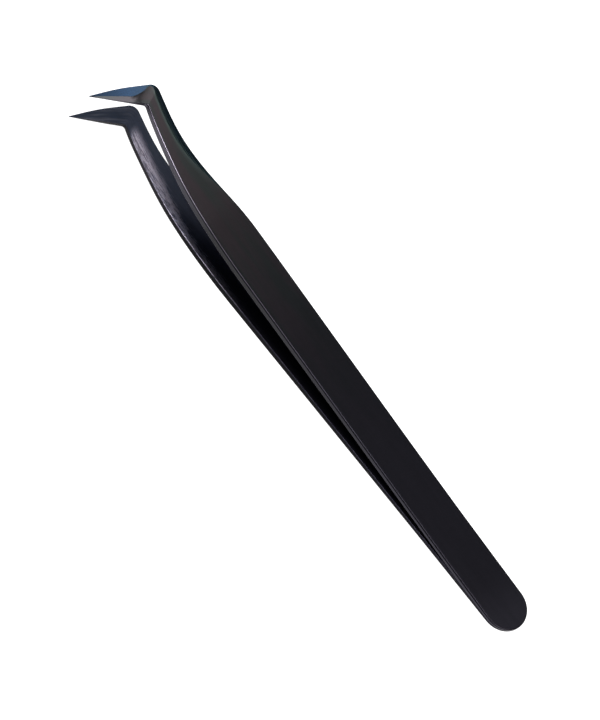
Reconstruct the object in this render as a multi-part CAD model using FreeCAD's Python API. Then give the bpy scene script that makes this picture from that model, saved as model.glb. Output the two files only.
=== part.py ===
import FreeCAD, Part
import math
import os

# Fine-point angled tweezers, all sizes in millimetres.
# Drawn first with X running along the handle from the tail end, Z = 0 the plane midway between the two arms
# and +Y the side the points turn to. Only the upper arm is drawn; the lower arm is its mirror image.
# The finished tweezers are then laid on the lower arm's straight outer face, with Z = 0 the table and the
# origin under the middle of the overall box.

LENGTH = 125.0            # tail end to points
TAIL_HALF_WIDTH = 4.65    # half width of the rounded tail
MIDDLE_HALF_WIDTH = 4.45  # the back edge is very slightly hollow in the middle of the handle
SHOULDER_HALF_WIDTH = 4.55 # half width where the handle ends
SHOULDER_X = LENGTH - 37.5       # start of the waist on the back edge
FRONT_SHOULDER_X = LENGTH - 44.0 # start of the curve on the edge that faces the points
BEND_X = LENGTH - 7.3     # inside corner of the bend
BEND_Y = -1.5
HEEL_X = LENGTH - 5.2     # outside corner of the bend, before rounding
HEEL_Y = -5.95
HEEL_RADIUS = 1.8         # rounding of the outside corner
POINT_Y = 7.2             # how far the points reach sideways
POINT_WIDTH = 0.16        # flat left at the very point

TAIL_THICK = 0.4          # thickness of one arm at the tail end
SPREAD = 0.0478           # slope of each outer face against the mid plane
SEAM_LENGTH = 12.0        # length over which the two arms lie together and are welded
SHOULDER_THICK = 1.45     # thickness of one arm at the shoulder, its thickest place
BOW_X = LENGTH - 32.0     # the shoulder; from here to the points the arm runs a little flatter and thins
OUTER_BOW_SLOPE = 0.0275
INNER_BOW_SLOPE = 0.0385
EDGE_ROUND = 0.25         # rounding of the outer face's long edges
NECK_ROUND = 0.8          # the rounding of the neck's back edge grows to this at the outside corner
FRONT_POINT_THICK = 0.7   # height at which the toe's front facet passes over the point
BACK_POINT_THICK = 0.2    # the same for the back facet, which leaves the point this thick
FACET_EDGE = 0.6          # height of the side wall left under the back facet near the bend

FLEX_X = 23.0             # middle of the stretch that bends when the arms are pinched
FLEX_CUT = 0.06           # clearance between the tail piece and the blade at that place
HOLLOW = 0.18             # how hollow each outer face is there, so it lies on the tail end and the touch line
TOUCH_X = FRONT_SHOULDER_X       # line across the handle on which the tweezers lie
TOUCH_SLOPE = 0.0430      # slope of the outer face between that line and the shoulder

NUGGET_R = 1.2            # spot welds inside the seam
NUGGET_DEPTH = 0.2        # how far each weld reaches into each arm
NUGGET_X = (4.0, 8.2)


def outer_z(x):
    # height of the outer face above the mid plane
    if x < FLEX_X:
        return TAIL_THICK + SPREAD * x - HOLLOW * x / FLEX_X
    if x < TOUCH_X:
        return TAIL_THICK + SPREAD * x - HOLLOW * (TOUCH_X - x) / (TOUCH_X - FLEX_X)
    touch = TAIL_THICK + SPREAD * TOUCH_X
    if x < BOW_X:
        return touch + TOUCH_SLOPE * (x - TOUCH_X)
    return touch + TOUCH_SLOPE * (BOW_X - TOUCH_X) + OUTER_BOW_SLOPE * (x - BOW_X)


def inner_z(x):
    # height of the inner face above the mid plane
    if x < SEAM_LENGTH:
        return 0.0
    bow_height = outer_z(BOW_X) - SHOULDER_THICK
    if x < BOW_X:
        return bow_height * (x - SEAM_LENGTH) / (BOW_X - SEAM_LENGTH)
    return bow_height + INNER_BOW_SLOPE * (x - BOW_X)


def vec(x, y, z=0.0):
    return FreeCAD.Vector(x, y, z)


def curve(points, start_dir, end_dir):
    # smooth edge through the points, leaving and arriving along the given directions
    spline = Part.BSplineCurve()
    spline.interpolate(Points=points, InitialTangent=start_dir, FinalTangent=end_dir)
    return spline.toShape()


def plan_face():
    # outline of one arm seen from above, anticlockwise from the back edge of the tail
    r = TAIL_HALF_WIDTH
    tail_back = vec(r, -r)
    tail_front = vec(r, r)
    middle = vec(47.5, -MIDDLE_HALF_WIDTH)
    shoulder = vec(SHOULDER_X, -SHOULDER_HALF_WIDTH)
    front_shoulder = vec(FRONT_SHOULDER_X, SHOULDER_HALF_WIDTH)
    point_a = vec(LENGTH, POINT_Y)
    point_b = vec(LENGTH - POINT_WIDTH, POINT_Y)
    corner = vec(HEEL_X, HEEL_Y)
    bend = vec(BEND_X, BEND_Y)

    # the outside corner is rounded between the back edge and the toe's edge
    toe_dir = (vec(LENGTH - 3.1, -1.2) - corner).normalize()
    back_dir = (vec(LENGTH - 9.8, -4.65) - corner).normalize()
    half = toe_dir.getAngle(back_dir) / 2
    reach = HEEL_RADIUS / math.tan(half)
    round_start = corner + back_dir * reach
    round_end = corner + toe_dir * reach
    bisector = (toe_dir + back_dir).normalize()
    round_mid = corner + bisector * (HEEL_RADIUS / math.sin(half) - HEEL_RADIUS)

    neck = [vec(LENGTH - 29.5, -3.95), vec(LENGTH - 21.5, -3.25), vec(LENGTH - 15.0, -3.55)]
    front_curve = [vec(LENGTH - 15.0, 0.95), vec(LENGTH - 24.0, 3.05), vec(LENGTH - 33.0, 4.1)]
    edges = [
        curve([tail_back, middle], vec(1, 0.008), shoulder - middle),
        Part.LineSegment(middle, shoulder).toShape(),
        curve([shoulder] + neck + [round_start], shoulder - middle, back_dir * -1),
        Part.Arc(round_start, round_mid, round_end).toShape(),
        curve([round_end, vec(LENGTH - 2.15, 0.9), point_a], toe_dir, vec(0.33, 1.0)),
        Part.LineSegment(point_a, point_b).toShape(),
        Part.LineSegment(point_b, bend).toShape(),
        curve([bend] + front_curve + [front_shoulder], vec(-2.4, 0.95), tail_front - front_shoulder),
        Part.LineSegment(front_shoulder, tail_front).toShape(),
        Part.Arc(tail_front, vec(0, 0), tail_back).toShape(),
    ]
    return Part.Face(Part.Wire(edges))


def side_profile():
    # one arm seen from the side, as a solid wider than the arm
    xs_outer = (-1.0, FLEX_X, TOUCH_X, BOW_X, LENGTH + 2)
    xs_inner = (LENGTH + 2, BOW_X, SEAM_LENGTH, -1.0)
    points = [vec(x, -20, outer_z(x)) for x in xs_outer]
    points += [vec(x, -20, inner_z(x)) for x in xs_inner]
    wire = Part.makePolygon(points + [points[0]])
    return Part.Face(wire).extrude(vec(0, 40, 0))


def above_plane(p, q, r, side_point):
    # a large block on the far side of the plane through p, q and r from side_point
    normal = (q - p).cross(r - p).normalize()
    if normal.dot(side_point - p) > 0:
        normal = normal * -1
    block = Part.makeBox(60, 60, 30, vec(-30, -30, 0))
    turn = FreeCAD.Rotation(vec(0, 0, 1), normal)
    block.Placement = FreeCAD.Placement(p, turn)
    return block


def round_outer_edges(arm):
    # the neck's back edge is rounded more and more towards the outside corner; the small rounding that it
    # starts with at the shoulder runs on round the rest of the outer face
    neck = []
    for edge in arm.Edges:
        mid = edge.valueAt((edge.FirstParameter + edge.LastParameter) / 2)
        if abs(mid.z - outer_z(mid.x)) < 0.02 and mid.y < 0 and BOW_X < mid.x < BEND_X:
            neck.append(edge)
    return arm.makeFillet(NECK_ROUND, EDGE_ROUND, neck)


def make_arm():
    plan = plan_face().extrude(vec(0, 0, 12))
    arm = plan.common(side_profile())
    arm = round_outer_edges(arm)

    # the toe is ground on its outer side to two facets that meet in a ridge running to the point
    inside = vec(BEND_X, BEND_Y, outer_z(BEND_X))
    ridge = vec(LENGTH - 5.7, -4.3, outer_z(LENGTH - 5.7))
    point = vec(LENGTH, POINT_Y, inner_z(LENGTH))
    back = vec(LENGTH - 4.1, -4.0, inner_z(LENGTH - 4.1) + FACET_EDGE)
    below = vec(BEND_X + 2, 0, 0)
    front_region = Part.Face(Part.makePolygon([
        vec(BEND_X, BEND_Y), vec(LENGTH - 5.7, -4.3), vec(LENGTH + 4, -4.3), vec(LENGTH + 4, 12),
        vec(LENGTH - 20, 12), vec(BEND_X, BEND_Y)])).extrude(vec(0, 0, 12))
    front_point = point + vec(0, 0, FRONT_POINT_THICK)
    back_point = point + vec(0, 0, BACK_POINT_THICK)
    front_cut = above_plane(inside, ridge, front_point, below).common(front_region)
    back_cut = above_plane(ridge, back_point, back, below)
    return arm.cut(front_cut).cut(back_cut)


def main():
    os.makedirs("parts", exist_ok=True)
    arm = make_arm()

    # pockets for the spot welds in the inner face of the seam
    nuggets = []
    for x in NUGGET_X:
        nuggets.append(Part.makeCylinder(NUGGET_R, 2 * NUGGET_DEPTH, vec(x, 0, -NUGGET_DEPTH)))
    for nugget in nuggets:
        arm = arm.cut(nugget)

    # each arm is cut at the place where it flexes, square to its own length
    flex_z = (outer_z(FLEX_X) + inner_z(FLEX_X)) / 2
    tilt = math.degrees(math.atan(SPREAD))
    gap = Part.makeBox(FLEX_CUT, 30, 30, vec(FLEX_X - FLEX_CUT / 2, -15, -15))
    gap.rotate(vec(FLEX_X, 0, flex_z), vec(0, 1, 0), -tilt)
    pieces = sorted(arm.cut(gap).Solids, key=lambda s: s.BoundBox.XMin)
    upper_heel, upper_blade = pieces

    mid_plane = (vec(0, 0, 0), vec(0, 0, 1))
    shapes = {
        "upper_tail": upper_heel,
        "lower_tail": upper_heel.mirror(*mid_plane),
        "rear_weld": nuggets[0],
        "front_weld": nuggets[1],
        "upper_blade": upper_blade,
        "lower_blade": upper_blade.mirror(*mid_plane),
    }

    # lay the tweezers on the lower arm's outer face and centre the overall box over the origin
    for shape in shapes.values():
        shape.translate(vec(0, 0, TAIL_THICK))
        shape.rotate(vec(0, 0, 0), vec(0, 1, 0), -tilt)
    box = FreeCAD.BoundBox()
    for shape in shapes.values():
        box.add(shape.optimalBoundingBox(False, False))
    for name, shape in shapes.items():
        shape.translate(vec(-box.Center.x, -box.Center.y, -box.ZMin))
        shape.exportStep("parts/" + name + ".step")


main()
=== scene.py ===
import math

import bmesh
import bpy
import numpy as np
from mathutils import Matrix, Vector


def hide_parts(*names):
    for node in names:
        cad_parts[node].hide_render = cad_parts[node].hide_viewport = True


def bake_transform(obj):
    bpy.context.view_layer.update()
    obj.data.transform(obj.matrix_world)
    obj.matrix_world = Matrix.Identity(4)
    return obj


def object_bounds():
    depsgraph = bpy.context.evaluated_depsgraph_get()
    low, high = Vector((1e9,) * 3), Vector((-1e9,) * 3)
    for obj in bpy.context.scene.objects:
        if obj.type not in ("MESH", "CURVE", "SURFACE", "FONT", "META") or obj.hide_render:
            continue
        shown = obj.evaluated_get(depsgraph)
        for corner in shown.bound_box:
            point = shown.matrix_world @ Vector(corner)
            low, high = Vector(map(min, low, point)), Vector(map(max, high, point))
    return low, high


# Angled fine-point tweezers. Each arm is one continuous mesh of black-coated spring steel that bends across
# the flexure, and it stands for the CAD's tail piece and blade. An arm is drawn in millimetres in its own
# frame: X along the handle from the tail end, +Y the side that the point turns to, Z = 0 midway between the
# arms. The pair is then moved into the row frame, in metres. An arm's long edge on the -Y side is called its
# back and the other its front.

MM = 0.001

# outline
LENGTH = 125.0
TAIL_HALF_WIDTH = 4.65                      # also the radius of the round tail end
TAIL_DIRECTION = (1, 0.008)                 # of the back edge as it leaves the tail end
MIDDLE_X, MIDDLE_HALF_WIDTH = 47.5, 4.45
SHOULDER_HALF_WIDTH = 4.55
SHOULDER_X = LENGTH - 37.5                  # the back edge draws in from here
FRONT_SHOULDER_X = LENGTH - 44.0            # and the front edge from here
NECK_BACK = ((LENGTH - 29.5, -3.95), (LENGTH - 21.5, -3.25), (LENGTH - 15.0, -3.55))
NECK_FRONT = ((LENGTH - 15.0, 0.95), (LENGTH - 24.0, 3.05), (LENGTH - 33.0, 4.1))
NECK_DIRECTION = (-2.4, 0.95)               # of the front edge, away from the bend
BEND_X, BEND_Y = LENGTH - 7.3, -1.5         # inside corner of the bend
BEND_RADIUS = 0.7
HEEL_X, HEEL_Y = LENGTH - 5.2, -5.95        # outside corner of the bend
HEEL_RADIUS = 1.8
HEEL_TO_NECK = (LENGTH - 9.8, -4.65)        # the back edge leaves that corner towards these two places
HEEL_TO_TOE = (LENGTH - 3.1, -1.2)
TOE_BACK = (LENGTH - 2.15, 0.9)
POINT_Y = 7.2
POINT_WIDTH = 0.16
POINT_DIRECTION = (0.33, 1.0)               # of the back edge at the point

# heights of the outer and the inner face, side on
TAIL_THICK = 0.4
SPREAD = 0.0478                             # slope of the outer face, apart from the hollow
SEAM_LENGTH = 12.0                          # the arms lie together along this
SHOULDER_THICK = 1.45
BOW_X = LENGTH - 32.0                       # the arm is bowed inwards here, to these slopes
OUTER_BOW_SLOPE = 0.0275
INNER_BOW_SLOPE = 0.0385
FLEX_X = 23.0                               # the hinge line
HOLLOW = 0.18                               # dip of the outer face at the hinge line
TOUCH_X = FRONT_SHOULDER_X                  # the arm rests on a table here and at the tail end
TOUCH_SLOPE = 0.0430                        # from there to the bow

# edges
EDGE_ROUND = 0.25                           # back edge of the outer face
FRONT_ROUND = {1: 0.32, -1: 0.12}           # its front edge, on the upper and the lower arm
TOE_ROUND = 0.05                            # the same past the bend
TOE_ROUND_TURN = 0.9                        # reached at this share of the bend
INNER_EDGE = 0.08                           # edges of the inner face
INNER_EDGE_MIDDLE = 0.3                     # share of such an edge at which its middle line lies
SEAM_EDGE = 0.03                            # the same where the arms lie together
SEAM_EDGE_GROWS = (SEAM_LENGTH - 1, SEAM_LENGTH + 6)
ROUND_SHARE, EDGE_SHARE = 0.42, 0.3         # the most of a wall that an edge takes up
SUPPORT = 0.04                              # width of the strips that keep flat faces flat in the shading
SUPPORT_SHARE = 0.2                         # the most of a wall that such a strip takes up
FACE_SHARE = 0.1                            # and the most of a face

# bevel along the back of the neck
BEVEL_GROWS = (LENGTH - 31, LENGTH - 16)
BEVEL_WIDTH = 1.6
BEVEL_DROP = 0.3
BEVEL_CROWN = 0.25                          # how much it bulges
WIDEST_BAND = 0.75                          # share of the arm's width
CORNER_REACH = 0.3                          # it narrows to this round the outside corner
CORNER_DROP = 0.11                          # the outer face is ground this much lower there
CORNER_DROP_START = 0.2                     # from this share of the bend on

# the toe's two ground facets and the ridge between them
RIDGE_START = 0.08                          # the ridge's place at the corner, in widths from the back
RIDGE_SHARE = 0.7                           # and further on
RIDGE_RISE = 0.28                           # share of the toe over which it swings there
RIDGE_SWING = 1.6                           # exponent of that swing
RIDGE_POINT = 0.22                          # height of the back facet above the inner face, at the point
BACK_SLOPE = 0.12                           # slopes across the two facets
FRONT_SLOPE = {1: 0.6, -1: 0.12}            # the lower toe is ground less on this side
FRONT_FACET_GROWS = (0.02, 0.36)            # shares of the toe
THINNEST_EDGE = 0.1                         # height left of the toe's front wall

# behind the bend, the lower inner face falls away towards its front edge and the upper one stands proud
CROWN = {1: -0.1, -1: 0.1}
CROWN_WIDTH = 0.5                           # share of the arm's width
CROWN_GROWS = (LENGTH - 45, LENGTH - 20)
CROWN_ENDS = (LENGTH - 17, LENGTH - 9)

# ribs of the mesh
NOSE_RIBS = 14                              # round the tail end
NOSE_CROWDING = 1.2                         # they stand closer near the very end
FAN_X = LENGTH - 12.0                       # from here the ribs turn with the bend
FAN_RIBS = 8
BEND_RIBS = 12
TOE_RIBS = 26
TOE_CROWDING = 0.9
FINE_X = FLEX_X + 13.0                      # closer ribs up to here, for the flexure
STRAIGHT_RIBS = (
    (TAIL_HALF_WIDTH, SEAM_LENGTH, 5),
    (SEAM_LENGTH, FINE_X, 24),
    (FINE_X, SHOULDER_X, 13),
    (SHOULDER_X, FAN_X, 21),
)

# lines of vertices along the arm, in degrees round an edge or in shares of a face
BACK_ARC = (0, 15, 30, 45, 60, 75)
BEVEL_LINES = (0.0, 0.03, 0.06, 0.5, 0.94, 0.97)    # the lines of BACK_ARC, where the band is a flat bevel
RIM_HIGHLIGHT_DEGREES = 60                            # the painted highlight along the bevel's rim starts on this line
FACE_LINES = (0.25, 0.5, 0.75)
FRONT_ARC = (90, 72, 54, 36, 18, 0)
INNER_LINES = (0.1, 0.2, 0.3, 0.4, 0.5, 0.6, 0.8)
MERGE_DISTANCE = 1e-5                       # vertices nearer than this are one, as at the tail end
SHORTEST_EDGE = 1e-6

WALL, BAND, FACE, EDGE, INNER, FACET = range(6)     # material slots of an arm

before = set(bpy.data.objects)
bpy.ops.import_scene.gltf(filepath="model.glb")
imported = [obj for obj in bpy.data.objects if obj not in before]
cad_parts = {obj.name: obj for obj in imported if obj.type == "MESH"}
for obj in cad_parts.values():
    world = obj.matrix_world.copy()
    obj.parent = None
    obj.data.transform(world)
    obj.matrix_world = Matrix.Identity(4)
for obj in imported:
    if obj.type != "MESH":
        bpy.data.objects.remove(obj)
cad_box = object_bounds()


def unit(v):
    v = np.asarray(v, float)
    return v / np.linalg.norm(v)


def smooth(x, a, b):
    # 0 below a, 1 above b, eased between
    t = np.clip((x - a) / (b - a), 0, 1)
    return t * t * (3 - 2 * t)


def outer_z(x):
    if x < FLEX_X:
        return TAIL_THICK + SPREAD * x - HOLLOW * x / FLEX_X
    if x < TOUCH_X:
        return TAIL_THICK + SPREAD * x - HOLLOW * (TOUCH_X - x) / (TOUCH_X - FLEX_X)
    touch = TAIL_THICK + SPREAD * TOUCH_X
    if x < BOW_X:
        return touch + TOUCH_SLOPE * (x - TOUCH_X)
    return touch + TOUCH_SLOPE * (BOW_X - TOUCH_X) + OUTER_BOW_SLOPE * (x - BOW_X)


def inner_z(x):
    if x < SEAM_LENGTH:
        return 0.0
    bow = outer_z(BOW_X) - SHOULDER_THICK
    if x < BOW_X:
        return bow * (x - SEAM_LENGTH) / (BOW_X - SEAM_LENGTH)
    return bow + INNER_BOW_SLOPE * (x - BOW_X)


def curve(points, start, end, count):
    # cubic spline through the points, leaving and arriving along the given directions; m is its direction at
    # each point
    p = np.array(points, float)
    h = np.linalg.norm(np.diff(p, axis=0), axis=1)
    d = np.diff(p, axis=0) / h[:, None]
    n = len(p)
    a, rhs = np.eye(n), np.zeros((n, 2))
    rhs[0], rhs[-1] = unit(start), unit(end)
    for i in range(1, n - 1):
        a[i, i - 1], a[i, i], a[i, i + 1] = h[i], 2 * (h[i - 1] + h[i]), h[i - 1]
        rhs[i] = 3 * (h[i] * d[i - 1] + h[i - 1] * d[i])
    m = np.linalg.solve(a, rhs)
    t = np.concatenate([[0], np.cumsum(h)])
    s = np.linspace(0, t[-1], count)
    k = np.clip(np.searchsorted(t, s, side="right") - 1, 0, n - 2)
    u = ((s - t[k]) / h[k])[:, None]
    hk = h[k][:, None]
    return (
        (2 * u**3 - 3 * u**2 + 1) * p[k]
        + (u**3 - 2 * u**2 + u) * hk * m[k]
        + (3 * u**2 - 2 * u**3) * p[k + 1]
        + (u**3 - u**2) * hk * m[k + 1]
    )


def corner_arc(corner, toward_a, toward_b, radius, count):
    # rounding of a corner, from the side of toward_a to the side of toward_b
    da, db = unit(toward_a), unit(toward_b)
    half = math.acos(float(da @ db)) / 2
    centre = corner + unit(da + db) * radius / math.sin(half)
    first = corner + da * radius / math.tan(half) - centre
    last = corner + db * radius / math.tan(half) - centre
    turn = math.atan2(first[0] * last[1] - first[1] * last[0], float(first @ last))
    points = []
    for i in range(count):
        angle = turn * i / (count - 1)
        c, s = math.cos(angle), math.sin(angle)
        points.append(centre + (c * first[0] - s * first[1], s * first[0] + c * first[1]))
    return np.array(points)


def resample(line, shares):
    # points at the given shares of a line's length
    s = np.concatenate([[0], np.cumsum(np.linalg.norm(np.diff(line, axis=0), axis=1))])
    s /= s[-1]
    return np.stack([np.interp(shares, s, line[:, k]) for k in (0, 1)], axis=1)


def ribs():
    # each rib's back end and front end, from the tail end to the point, and how far round the bend and how
    # far along the toe it lies, both from 0 to 1
    r = TAIL_HALF_WIDTH
    heel_corner = np.array((HEEL_X, HEEL_Y))
    bend_corner = np.array((BEND_X, BEND_Y))
    point_back = (LENGTH, POINT_Y)
    point_front = (LENGTH - POINT_WIDTH, POINT_Y)
    toe_dir = unit(HEEL_TO_TOE - heel_corner)
    back_dir = unit(HEEL_TO_NECK - heel_corner)
    neck_dir = unit(NECK_DIRECTION)
    heel = corner_arc(heel_corner, back_dir, toe_dir, HEEL_RADIUS, BEND_RIBS)
    inside = corner_arc(bend_corner, neck_dir, point_front - bend_corner, BEND_RADIUS, BEND_RIBS)

    middle = (MIDDLE_X, -MIDDLE_HALF_WIDTH)
    shoulder = (SHOULDER_X, -SHOULDER_HALF_WIDTH)
    straight = np.subtract(shoulder, middle)
    handle = curve([(r, -r), middle], TAIL_DIRECTION, straight, count=40)
    neck = curve([shoulder, *NECK_BACK, heel[0]], straight, -back_dir, count=120)
    back = np.concatenate([handle, neck])
    shoulder = (FRONT_SHOULDER_X, SHOULDER_HALF_WIDTH)
    neck = curve([inside[0], *NECK_FRONT, shoulder], neck_dir, np.subtract((r, r), shoulder), count=140)
    front = np.concatenate([[(r, r)], neck[::-1]])

    def on_edges(x_back, x_front):
        return (x_back, np.interp(x_back, *back.T)), (x_front, np.interp(x_front, *front.T))

    nose = np.radians(90) * (np.arange(NOSE_RIBS) / NOSE_RIBS) ** NOSE_CROWDING
    ends = [((r - r * math.cos(a), -r * math.sin(a)), (r - r * math.cos(a), r * math.sin(a))) for a in nose]
    for start, end, count in STRAIGHT_RIBS:
        ends += [on_edges(x, x) for x in np.linspace(start, end, count, endpoint=False)]
    for u in np.linspace(0, 1, FAN_RIBS, endpoint=False):
        ends.append(on_edges(FAN_X + (heel[0][0] - FAN_X) * u, FAN_X + (inside[0][0] - FAN_X) * u))
    rows = [(b, f, 0.0, 0.0) for b, f in ends]
    rows += [(b, f, k / (BEND_RIBS - 1), 0.0) for k, (b, f) in enumerate(zip(heel, inside))]
    shares = (np.arange(1, TOE_RIBS + 1) / TOE_RIBS) ** TOE_CROWDING
    toe_back = resample(curve([heel[-1], TOE_BACK, point_back], toe_dir, POINT_DIRECTION, count=120), shares)
    toe_front = resample(np.array([inside[-1], point_front]), shares)
    rows += [(b, f, 1.0, share) for b, f, share in zip(toe_back, toe_front, shares)]
    return [(np.array(b, float), np.array(f, float), turn, toe) for b, f, turn, toe in rows]


def ground_faces(x, full, width, turn, toe, side):
    # how far the band along the back reaches in, and how far below the plain outer face its outer line, its
    # inner line and the front border lie
    grown = smooth(x, *BEVEL_GROWS)
    reach = EDGE_ROUND + (BEVEL_WIDTH - EDGE_ROUND) * grown
    reach = reach + (CORNER_REACH - reach) * smooth(turn, 0.0, 1.0)
    drop_back = EDGE_ROUND + (BEVEL_DROP - EDGE_ROUND) * grown
    if turn > 0:
        drop_back *= reach / BEVEL_WIDTH
    drop_ridge = drop_front = CORNER_DROP * smooth(turn, CORNER_DROP_START, 1.0)
    drop_back += drop_ridge
    if toe > 0:
        # the back facet is one plane that falls towards the point, and the ridge is where it meets the rest
        swing = 1 - (1 - min(toe / RIDGE_RISE, 1.0)) ** RIDGE_SWING
        reach = (RIDGE_START + (RIDGE_SHARE - RIDGE_START) * swing) * width
        drop_back = CORNER_DROP + (full - RIDGE_POINT - CORNER_DROP) * toe + BACK_SLOPE * RIDGE_START * width
        drop_ridge = max(drop_back - BACK_SLOPE * reach, CORNER_DROP)
        fall = FRONT_SLOPE[side] * smooth(toe, *FRONT_FACET_GROWS) * (width - reach)
        drop_front = min(drop_ridge + fall, full - THINNEST_EDGE)
    return min(reach, WIDEST_BAND * width), drop_back, drop_ridge, drop_front


def support_share(start, end, strip):
    # the share of a run that its support strip takes up
    run = float(np.linalg.norm(end - start))
    return min(strip / run, FACE_SHARE) if run > SHORTEST_EDGE else FACE_SHARE


def rib_ring(back, front, turn, toe, side):
    # the closed ring round one rib, as (point, height, material slot, highlight mask): up the back wall,
    # over the outer face, down the front wall and back along the inner face; the mask is 1 where a highlight
    # is painted along the bevel's rim
    width = float(np.linalg.norm(front - back))
    if back[0] < TAIL_HALF_WIDTH:
        centre = np.array((TAIL_HALF_WIDTH, 0.0))
        in_b, in_f = unit(centre - back), unit(centre - front)
    else:
        in_b = (front - back) / width
        in_f = -in_b
    x = (back[0] + front[0]) / 2
    full = outer_z(x) - inner_z(x)
    reach, drop_b, drop_r, drop_f = ground_faces(x, full, width, turn, toe, side)
    round_f = FRONT_ROUND[side] + (TOE_ROUND - FRONT_ROUND[side]) * smooth(turn, 0.0, TOE_ROUND_TURN)
    round_f = min(round_f, ROUND_SHARE * (full - drop_f))
    edge = SEAM_EDGE + (INNER_EDGE - SEAM_EDGE) * smooth(x, *SEAM_EDGE_GROWS)
    edge_b = min(edge, EDGE_SHARE * (full - drop_b))
    edge_f = min(edge, EDGE_SHARE * (full - drop_f - round_f))
    crown = CROWN[side] * smooth(x, *CROWN_GROWS) * (1 - smooth(x, *CROWN_ENDS))
    strip = min(SUPPORT, FACE_SHARE * width) if width > 0 else SUPPORT
    strip_b = min(SUPPORT, SUPPORT_SHARE * (full - drop_b - edge_b))
    strip_f = min(SUPPORT, SUPPORT_SHARE * (full - drop_f - round_f - edge_f - crown))
    ridge = back + in_b * reach
    border = front + in_f * round_f
    inner_b, inner_f = back + in_b * edge_b, front + in_f * edge_f
    flatness = smooth(x, *BEVEL_GROWS)
    # where a highlight is painted along the bevel's rim: on the flat bevel, fading round the bend
    rim_highlight = float(flatness * (1 - turn))
    ring = []

    def below_outer(p, drop, kind=WALL, lit=0.0):
        ring.append((p, outer_z(p[0]) - drop, kind, lit))

    def above_inner(p, height, kind=WALL):
        ring.append((p, inner_z(p[0]) + height, kind, 0.0))

    above_inner(back, edge_b)
    above_inner(back, edge_b + strip_b)
    below_outer(back, drop_b + strip_b)
    bulge = BEVEL_CROWN * (toe == 0)
    for degrees, flat in zip(BACK_ARC, BEVEL_LINES):
        angle = np.radians(degrees)
        u = (1 - math.cos(angle)) * (1 - flatness) + flat * flatness
        v = math.sin(angle) * (1 - flatness) + (flat + bulge * flat * (1 - flat)) * flatness
        below_outer(back + in_b * reach * u, drop_b + (drop_r - drop_b) * v, FACET if toe > 0 else BAND,
                    rim_highlight * (degrees >= RIM_HIGHLIGHT_DEGREES))
    below_outer(ridge, drop_r, FACE, rim_highlight)
    near = support_share(ridge, border, strip)
    for share in (near, *FACE_LINES, 1 - near):
        below_outer(ridge + (border - ridge) * share, drop_r + (drop_f - drop_r) * share, FACE,
                    rim_highlight * (share == near))
    for angle in np.radians(FRONT_ARC):
        below_outer(front + in_f * round_f * (1 - math.cos(angle)), drop_f + round_f * (1 - math.sin(angle)),
                    EDGE if angle > 0 else WALL)
    below_outer(front, drop_f + round_f + strip_f)
    above_inner(front, crown + edge_f + strip_f)
    above_inner(front, crown + edge_f, INNER)
    above_inner(front + (inner_f - front) * INNER_EDGE_MIDDLE, crown + edge_f * INNER_EDGE_MIDDLE, INNER)
    above_inner(inner_f, crown, INNER)
    near = support_share(inner_b, inner_f, strip)
    for share in (near, *INNER_LINES, 1 - near):
        fall = crown * max(0.0, 1 - share / CROWN_WIDTH) ** 2
        above_inner(inner_f + (inner_b - inner_f) * share, fall, INNER)
    above_inner(inner_b, 0.0, INNER)
    above_inner(back + (inner_b - back) * INNER_EDGE_MIDDLE, edge_b * INNER_EDGE_MIDDLE, INNER)
    return ring


def arm_mesh(name, side):
    # side is +1 for the upper arm and -1 for the lower arm, its mirror image. The materials read four
    # attributes: flow is millimetres along the arm, across it and up; toe rises to 0.5 round the bend and to
    # 1 at the point; from_front is the distance from the front edge in widths; the fourth marks where a
    # highlight is painted along the bevel's rim.
    bm = bmesh.new()
    flow_layer = bm.verts.layers.float_vector.new("flow")
    toe_layer = bm.verts.layers.float.new("toe")
    front_layer = bm.verts.layers.float.new("from_front")
    rim_highlight_layer = bm.verts.layers.float.new("rim_highlight")
    rings, travelled, before = [], 0.0, np.zeros(2)
    for back, front, turn, toe in ribs():
        middle = (back + front) / 2
        width = float(np.linalg.norm(front - back))
        across = (front - back) / width if width > 0 else np.zeros(2)
        travelled += float(np.linalg.norm(middle - before))
        before = middle
        verts, kinds = [], []
        for p, z, kind, rim_highlight in rib_ring(back, front, turn, toe, side):
            v = bm.verts.new((p[0], p[1], side * z))
            v[flow_layer] = (travelled, float((p - middle) @ across), z)
            v[toe_layer] = 0.5 + 0.5 * toe if toe > 0 else 0.5 * turn
            v[front_layer] = float(np.linalg.norm(p - front)) / width if width > 0 else 0.5
            v[rim_highlight_layer] = rim_highlight
            verts.append(v)
            kinds.append(kind)
        rings.append((verts, kinds))

    for (low, kinds), (high, _) in zip(rings, rings[1:]):
        for k in range(len(low)):
            n = (k + 1) % len(low)
            quad = (low[k], high[k], high[n], low[n])
            face = bm.faces.new(quad if side > 0 else quad[::-1])
            face.material_index = kinds[k]
            face.smooth = True
    cap = bm.faces.new(rings[-1][0] if side < 0 else rings[-1][0][::-1])
    cap.material_index = WALL
    bmesh.ops.remove_doubles(bm, verts=bm.verts, dist=MERGE_DISTANCE)
    bmesh.ops.dissolve_degenerate(bm, edges=bm.edges, dist=SHORTEST_EDGE)
    bmesh.ops.recalc_face_normals(bm, faces=bm.faces)
    mesh = bpy.data.meshes.new(name)
    bm.to_mesh(mesh)
    bm.free()
    obj = bpy.data.objects.new(name, mesh)
    bpy.context.scene.collection.objects.link(obj)
    return obj


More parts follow.
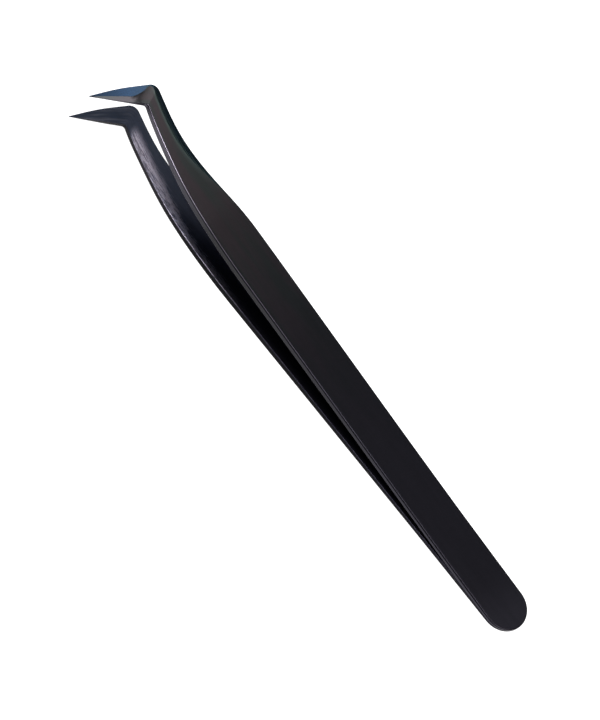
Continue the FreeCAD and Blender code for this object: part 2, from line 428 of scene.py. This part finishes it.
def lay_in_row_frame(arms):
    # lean the pair so that the lower arm lies flat, then centre it over the CAD's own box
    tilt = Matrix.Rotation(-math.atan(SPREAD), 4, "Y")
    place = Matrix.Scale(MM, 4) @ tilt @ Matrix.Translation((0, 0, TAIL_THICK))
    for arm in arms:
        arm.data.transform(place)
    places = np.concatenate([[tuple(v.co) for v in arm.data.vertices] for arm in arms])
    low, high = places.min(0), places.max(0)
    cad_low, cad_high = (np.array(c) for c in cad_box)
    shift = (cad_low + cad_high) / 2 - (low + high) / 2
    shift[2] = cad_low[2] - low[2]
    for arm in arms:
        arm.data.transform(Matrix.Translation(Vector(shift)))


# ---------------------------------------------------------------- materials

def new_material(name):
    material = bpy.data.materials.new(name)
    material.use_nodes = True
    tree = material.node_tree
    return material, tree, tree.nodes["Principled BSDF"]


def add(tree, kind, **values):
    node = tree.nodes.new(kind)
    for key, value in values.items():
        setattr(node, key, value)
    return node


def attribute(tree, name, output="Fac"):
    return add(tree, "ShaderNodeAttribute", attribute_name=name).outputs[output]


def noise(tree, vector, scale=1.0, detail=3.0, roughness=0.5):
    node = add(tree, "ShaderNodeTexNoise")
    node.inputs["Scale"].default_value = scale
    node.inputs["Detail"].default_value = detail
    node.inputs["Roughness"].default_value = roughness
    tree.links.new(vector, node.inputs["Vector"])
    return node.outputs["Fac"]


def stretched(tree, vector, scales):
    node = add(tree, "ShaderNodeMapping")
    node.inputs["Scale"].default_value = scales
    tree.links.new(vector, node.inputs["Vector"])
    return node.outputs["Vector"]


def span(tree, value, low, high, new_low, new_high):
    node = add(tree, "ShaderNodeMapRange", interpolation_type="SMOOTHSTEP")
    for key, number in zip(("From Min", "From Max", "To Min", "To Max"), (low, high, new_low, new_high)):
        node.inputs[key].default_value = number
    tree.links.new(value, node.inputs["Value"])
    return node.outputs["Result"]


def mixed(tree, share, a, b, blend="MIX"):
    node = add(tree, "ShaderNodeMix", data_type="RGBA", blend_type=blend)
    for socket, value in ((node.inputs[0], share), (node.inputs[6], a), (node.inputs[7], b)):
        if isinstance(value, bpy.types.NodeSocket):
            tree.links.new(value, socket)
        elif socket.type == "RGBA":
            socket.default_value = (*value, 1.0)
        else:
            socket.default_value = value
    return node.outputs[2]


def math_node(tree, operation, a, b):
    node = add(tree, "ShaderNodeMath", operation=operation)
    for socket, value in zip(node.inputs, (a, b)):
        if isinstance(value, bpy.types.NodeSocket):
            tree.links.new(value, socket)
        else:
            socket.default_value = value
    return node.outputs[0]


def set_bump(tree, shader, height, strength, distance):
    node = add(tree, "ShaderNodeBump")
    node.inputs["Strength"].default_value = strength
    node.inputs["Distance"].default_value = distance
    tree.links.new(height, node.inputs["Height"])
    tree.links.new(node.outputs["Normal"], shader.inputs["Normal"])


# the coats' brightness, as pairs of a distance along the arm in millimetres and the brightness there: the
# outer face and the back bevel are darkest on the handle and lighter towards the tail end and the neck; on
# the front edge these pairs paint a highlight, strongest at the neck, and on the sides a reflection,
# brighter at the tail end and the neck; the toe's facet darkens towards the point
FACE_SHADES = ((0, 1.25), (12, 0.8), (60, 0.78), (85, 1.0), (112, 1.1))
SIDE_PAINTED_REFLECTION = ((0, 0.9), (14, 0.75), (60, 0.35), (88, 0.25), (105, 0.85), (112, 1.1))
EDGE_PAINTED_HIGHLIGHT = ((0, 0.3), (12, 0.2), (88, 0.2), (98, 0.45), (112, 1.8), (115, 1.4), (119, 0.4))
BAND_SHADES = ((0, 1.0), (12, 0.8), (85, 0.9), (116, 1.0))
FACET_SHADES = ((112, 0.5), (121, 0.58), (132, 0.3))
COAT_TURNS = (35, 95)                       # over this stretch the tail's colour gives way to the front's
RIM_HIGHLIGHT_COLOUR = (0.050, 0.072, 0.070)          # painted highlight: a teal-grey light line on the bevel's rim
RIM_HIGHLIGHT_SHARE = 0.8
LOWER_SIDE_PAINTED_SHADE = 0.65                        # painted shade: the lower arm's sides reflect less at a glancing angle than the upper arm's
MOTTLE_SCALES = (0.05, 0.35, 0.35)          # along the arm, across it and up, per millimetre
PIT_SCALE = 9.0
CLOUDS = (0.35, 0.65)                       # ranges of a noise that are stretched to the whole change
STREAKS = (0.3, 0.7)
MOTTLE_ROUGHNESS = 0.006                    # how much the mottling changes the roughness, up and down
STREAK_BUMP, PIT_BUMP = 0.7, 0.3            # shares of the relief
COAT_RELIEF = 0.00003                       # metres


def steel(name, colour, tint, rear, roughness, streaks, along, bump, shades, glancing_painted_shade=1.0):
    # dark coated steel: a coat mottled between two colours, which gives way to the rear colour towards the
    # tail, with streaks that follow the arm, stretched by the scales in along, and tiny pits; the shades
    # scale its brightness along the arm, which on the edges and sides is painted highlight and painted
    # reflection, a painted highlight is mixed in along the bevel's rim, and a glancing tint below 1 is
    # painted shade
    material, tree, shader = new_material(name)
    flow = attribute(tree, "flow", "Vector")
    place = add(tree, "ShaderNodeSeparateXYZ")
    tree.links.new(flow, place.inputs[0])
    x = place.outputs[0]
    mottle = noise(tree, stretched(tree, flow, MOTTLE_SCALES), detail=2.0)
    lines = noise(tree, stretched(tree, flow, along))
    pits = noise(tree, flow, scale=PIT_SCALE)
    base = mixed(tree, span(tree, mottle, *CLOUDS, 0.0, 1.0), colour, tint)
    base = mixed(tree, span(tree, x, *COAT_TURNS, 0.0, 1.0), rear, base)
    lift = span(tree, lines, *STREAKS, 1 - streaks, 1 + streaks)
    # brightness along the arm from the shades; on the front edge it is a painted highlight and on the sides
    # a painted reflection
    for (x0, y0), (x1, y1) in zip(shades, shades[1:]):
        lift = math_node(tree, "MULTIPLY", lift, span(tree, x, x0, x1, 1.0, y1 / y0))
    lift = math_node(tree, "MULTIPLY", lift, shades[0][1])
    shade = add(tree, "ShaderNodeCombineColor")
    for socket in shade.inputs[:3]:
        tree.links.new(lift, socket)
    base = mixed(tree, 1.0, base, shade.outputs[0], "MULTIPLY")
    # painted highlight: a thin teal-grey light line on the bevel's rim, mixed into the colour
    base = mixed(tree, math_node(tree, "MULTIPLY", attribute(tree, "rim_highlight"), RIM_HIGHLIGHT_SHARE), base, RIM_HIGHLIGHT_COLOUR)
    tree.links.new(base, shader.inputs["Base Color"])
    shader.inputs["Metallic"].default_value = 1.0
    # a glancing tint below 1 paints shade into the reflection at a glancing angle
    shader.inputs["Specular Tint"].default_value = (glancing_painted_shade, glancing_painted_shade, glancing_painted_shade, 1.0)
    from_lines = span(tree, lines, *STREAKS, roughness - streaks / 2, roughness + streaks / 2)
    from_mottle = span(tree, mottle, *STREAKS, -MOTTLE_ROUGHNESS, MOTTLE_ROUGHNESS)
    tree.links.new(math_node(tree, "ADD", from_lines, from_mottle), shader.inputs["Roughness"])
    grooves = math_node(tree, "MULTIPLY", lines, STREAK_BUMP)
    height = math_node(tree, "ADD", grooves, math_node(tree, "MULTIPLY", pits, PIT_BUMP))
    set_bump(tree, shader, height, bump, COAT_RELIEF)
    return material


def coat_outer_face():
    return steel("coat_outer_face", (0.030, 0.034, 0.035), (0.037, 0.032, 0.036), rear=(0.029, 0.028, 0.036),
                 roughness=0.30, streaks=0.015, along=(0.08, 3, 3), bump=0.005, shades=FACE_SHADES)


def coat_back_bevel():
    return steel("coat_back_bevel", (0.017, 0.030, 0.040), (0.021, 0.034, 0.044), rear=(0.028, 0.028, 0.034),
                 roughness=0.28, streaks=0.04, along=(0.15, 5, 5), bump=0.01, shades=BAND_SHADES)


def toe_back_facet():
    return steel("toe_back_facet", (0.032, 0.058, 0.104), (0.037, 0.066, 0.112), rear=(0.032, 0.036, 0.044),
                 roughness=0.28, streaks=0.04, along=(0.15, 5, 5), bump=0.01, shades=FACET_SHADES)


# the upper arm's front edge: a lighter copy of the outer face's coat, a painted highlight that is strongest
# at the neck
def coat_front_edge_painted_highlight():
    return steel("coat_front_edge_painted_highlight", (0.044, 0.040, 0.050), (0.050, 0.046, 0.055), rear=(0.044, 0.042, 0.054),
                 roughness=0.24, streaks=0.02, along=(0.15, 4, 4), bump=0.005, shades=EDGE_PAINTED_HIGHLIGHT)


# the lower arm's front edge: a darker copy of the upper arm's edge coat, painted shade
def coat_low_edge_painted_shade():
    return steel("coat_low_edge_painted_shade", (0.010, 0.010, 0.012), (0.013, 0.012, 0.015), rear=(0.008, 0.008, 0.011),
                 roughness=0.28, streaks=0.04, along=(0.15, 4, 4), bump=0.03, shades=SIDE_PAINTED_REFLECTION,
                 glancing_painted_shade=LOWER_SIDE_PAINTED_SHADE)


# the upper arm's sides: their shades paint a reflection, brighter at the tail end and the neck
def coat_side_upper_painted_reflection():
    return steel("coat_side_upper_painted_reflection", (0.026, 0.025, 0.033), (0.032, 0.030, 0.040), rear=(0.028, 0.026, 0.038),
                 roughness=0.30, streaks=0.08, along=(0.2, 4, 6), bump=0.06, shades=SIDE_PAINTED_REFLECTION)


# the lower arm's sides: a darker copy of the upper arm's side coat, painted shade
def coat_side_lower_painted_shade():
    return steel("coat_side_lower_painted_shade", (0.010, 0.010, 0.012), (0.013, 0.012, 0.015), rear=(0.008, 0.008, 0.011),
                 roughness=0.30, streaks=0.08, along=(0.2, 4, 6), bump=0.06, shades=SIDE_PAINTED_REFLECTION,
                 glancing_painted_shade=LOWER_SIDE_PAINTED_SHADE)


# the ground inner face; places are in millimetres along the arm
SCRATCH_SCALES = (0.5, 4.5, 4.5)
BAND_SCALES = (0.12, 1.6, 1.6)
SCRATCH_RELIEF = 0.00004                    # metres
STRIP_WIDENS = (90, 114)                    # the scratched strip with its painted highlight widens between these places
STRIP_WIDTHS = (0.13, 0.62)                 # from the first to the second of these shares of the arm's width
STRIP_RAGGED = 0.14                         # how far its border wanders, in widths of the arm
STRIP_BORDER = (0.4, 1.1)                   # over this it fades away, in widths of the strip
STRIP_STARTS = (74, 100)
STRIP_FAINTEST = 0.06                       # how strong it is behind that
STRIP_ENDS = (114.5, 117.5)
# over this stretch the painted shade on the inner face lifts towards the neck
NECK_LIGHTENS = (84, 110)


def ground_inner_face():
    # nearly black towards the tail and lighter towards the neck, painted shade where the other arm lies over
    # it; a scratched strip along its front edge carries a painted highlight that fades towards the tail; and
    # a blue-grey toe with streaks along it
    material, tree, shader = new_material("ground_inner_face")
    flow = attribute(tree, "flow", "Vector")
    toe = attribute(tree, "toe")
    place = add(tree, "ShaderNodeSeparateXYZ")
    tree.links.new(flow, place.inputs[0])
    x = place.outputs[0]
    scratches = noise(tree, stretched(tree, flow, SCRATCH_SCALES), detail=5.0, roughness=0.75)
    bands = noise(tree, stretched(tree, flow, BAND_SCALES))

    jitter = span(tree, scratches, *STREAKS, -STRIP_RAGGED, STRIP_RAGGED)
    ragged = math_node(tree, "ADD", attribute(tree, "from_front"), jitter)
    reach = span(tree, x, *STRIP_WIDENS, *STRIP_WIDTHS)
    strip = span(tree, math_node(tree, "DIVIDE", ragged, reach), *STRIP_BORDER, 1.0, 0.0)
    strip = math_node(tree, "MULTIPLY", strip, span(tree, x, *STRIP_STARTS, STRIP_FAINTEST, 1.0))
    strip = math_node(tree, "MULTIPLY", strip, span(tree, x, *STRIP_ENDS, 1.0, 0.0))

    streaked = span(tree, bands, *CLOUDS, 0.0, 1.0)
    toe_tone = mixed(tree, streaked, (0.011, 0.014, 0.021), (0.030, 0.032, 0.041))
    # painted shade: the inner face is near black towards the tail, where the other arm lies close over it,
    # and lighter towards the neck
    rear_painted_shade = mixed(tree, bands, (0.003, 0.003, 0.006), (0.006, 0.006, 0.010))
    neck_tone = mixed(tree, bands, (0.010, 0.012, 0.020), (0.022, 0.026, 0.035))
    scratched = span(tree, scratches, 0.40, 0.62, 0.0, 1.0)
    # painted highlight: the scratched strip along the front edge is far lighter than the rest of the face
    strip_painted_highlight = mixed(tree, scratched, (0.058, 0.054, 0.071), (0.265, 0.250, 0.300))
    base = mixed(tree, span(tree, x, *NECK_LIGHTENS, 0.0, 1.0), rear_painted_shade, neck_tone)
    base = mixed(tree, span(tree, toe, 0.0, 0.5, 0.0, 1.0), base, toe_tone)
    # the painted highlight laid over the strip
    base = mixed(tree, strip, base, strip_painted_highlight)
    tree.links.new(base, shader.inputs["Base Color"])
    shader.inputs["Metallic"].default_value = 1.0
    tree.links.new(span(tree, scratches, *STREAKS, 0.30, 0.42), shader.inputs["Roughness"])
    set_bump(tree, shader, scratches, strength=0.35, distance=SCRATCH_RELIEF)
    return material


def arm_materials():
    # the upper arm's and the lower arm's, in the order of the slots WALL, BAND, FACE, EDGE, INNER, FACET;
    # the lower arm's wall and edge coats are darker copies of the upper arm's, painted shade
    band, face, inner, facet = coat_back_bevel(), coat_outer_face(), ground_inner_face(), toe_back_facet()
    upper = [coat_side_upper_painted_reflection(), band, face, coat_front_edge_painted_highlight(), inner, facet]
    lower = [coat_side_lower_painted_shade(), band, face, coat_low_edge_painted_shade(), inner, facet]
    return upper, lower


def weld_material():
    # bare steel, with a grain finer than a millimetre
    material, tree, shader = new_material("weld_steel")
    place = add(tree, "ShaderNodeNewGeometry").outputs["Position"]
    grain = noise(tree, place, scale=2500.0, detail=4.0)
    base = mixed(tree, grain, (0.36, 0.35, 0.34), (0.52, 0.52, 0.53))
    tree.links.new(base, shader.inputs["Base Color"])
    tree.links.new(span(tree, grain, 0.2, 0.8, 0.35, 0.55), shader.inputs["Roughness"])
    shader.inputs["Metallic"].default_value = 1.0
    return material


# ---------------------------------------------------------------- the object

upper = arm_mesh("upper_arm_strip", 1)
lower = arm_mesh("lower_arm_strip", -1)
lay_in_row_frame((upper, lower))
for arm, finishes in zip((upper, lower), arm_materials()):
    for material in finishes:
        arm.data.materials.append(material)

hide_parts("upper_tail", "upper_blade")
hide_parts("lower_tail", "lower_blade")
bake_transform(upper)
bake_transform(lower)

weld = weld_material()
for node in ("rear_weld", "front_weld"):
    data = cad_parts[node].data
    data.materials.clear()
    data.materials.append(weld)

# ---------------------------------------------------------------- floor, light and camera

FLOOR_SIZE = 12.0
FLOOR_GAP = 0.0002                          # keeps the floor clear of the lower arm

half = FLOOR_SIZE / 2
floor_mesh = bpy.data.meshes.new("floor")
floor_mesh.from_pydata(
    [(-half, -half, 0), (half, -half, 0), (half, half, 0), (-half, half, 0)], [], [(0, 1, 2, 3)])
floor = bpy.data.objects.new("floor", floor_mesh)
floor.location.z = cad_box[0].z - FLOOR_GAP
bpy.context.scene.collection.objects.link(floor)
floor_material, _, floor_shader = new_material("floor_white")
floor_shader.inputs["Base Color"].default_value = (0.3, 0.3, 0.3, 1)
floor_shader.inputs["Roughness"].default_value = 0.9
floor_shader.inputs["Emission Color"].default_value = (1, 1, 1, 1)
floor_shader.inputs["Emission Strength"].default_value = 0.9
floor_mesh.materials.append(floor_material)


def soft_light(name, place, aim, size, power, colour):
    data = bpy.data.lights.new(name, "AREA")
    data.shape = "SQUARE"
    data.size = size
    data.energy = power
    data.color = colour
    light = bpy.data.objects.new(name, data)
    light.location = place
    light.rotation_euler = (Vector(aim) - Vector(place)).to_track_quat("-Z", "Y").to_euler()
    bpy.context.scene.collection.objects.link(light)


AIM = (0.06, 0, 0)                          # the bent end, which most lights are turned to
world = bpy.data.worlds.new("studio")
world.use_nodes = True
world.node_tree.nodes["Background"].inputs["Color"].default_value = (0.9, 0.95, 1.0, 1)
world.node_tree.nodes["Background"].inputs["Strength"].default_value = 0.2
bpy.context.scene.world = world
soft_light("overhead", (0.07, 0.26, 0.70), (0.02, 0, 0), size=0.36, power=10.0, colour=(1.0, 0.98, 1.0))
soft_light("front_card", (0.12, -0.17, 0.25), AIM, size=0.12, power=0.17, colour=(1.0, 0.93, 0.87))
soft_light("toe_card", (0.165, -0.21, 0.20), AIM, size=0.07, power=0.09, colour=(0.30, 0.62, 1.0))
soft_light("tail_card", (-0.31, 0.07, 0.36), AIM, size=0.32, power=1.8, colour=(1.0, 0.94, 0.96))
soft_light("bend_card", (-0.13, -0.06, 0.41), AIM, size=0.16, power=0.38, colour=(1.0, 0.95, 0.93))

CAMERA_AZIMUTH = math.radians(97.665)       # from +X towards +Y
CAMERA_ELEVATION = math.radians(55.935)
CAMERA_ROLL = math.radians(315.354)
CAMERA_DISTANCE = 1.2
CAMERA_LENS = 325.8                         # millimetres, for a sensor of this width
CAMERA_SENSOR = 36.0
CAMERA_SHIFT = (-0.0025, 0.0084)
CAMERA_CLIP = 10.0

toward = Vector((
    math.cos(CAMERA_ELEVATION) * math.cos(CAMERA_AZIMUTH),
    math.cos(CAMERA_ELEVATION) * math.sin(CAMERA_AZIMUTH),
    math.sin(CAMERA_ELEVATION)))
level = Vector((-math.sin(CAMERA_AZIMUTH), math.cos(CAMERA_AZIMUTH), 0))
upward = toward.cross(level)
right = level * math.cos(CAMERA_ROLL) - upward * math.sin(CAMERA_ROLL)
above = level * math.sin(CAMERA_ROLL) + upward * math.cos(CAMERA_ROLL)
camera_data = bpy.data.cameras.new("camera")
camera_data.sensor_width = CAMERA_SENSOR
camera_data.lens = CAMERA_LENS
camera_data.shift_x, camera_data.shift_y = CAMERA_SHIFT
camera_data.clip_end = CAMERA_CLIP
camera = bpy.data.objects.new("camera", camera_data)
turned = Matrix((right, above, toward)).transposed().to_4x4()
camera.matrix_world = Matrix.Translation(toward * CAMERA_DISTANCE) @ turned
bpy.context.scene.collection.objects.link(camera)
bpy.context.scene.camera = camera
bpy.context.scene.view_settings.view_transform = "Standard"
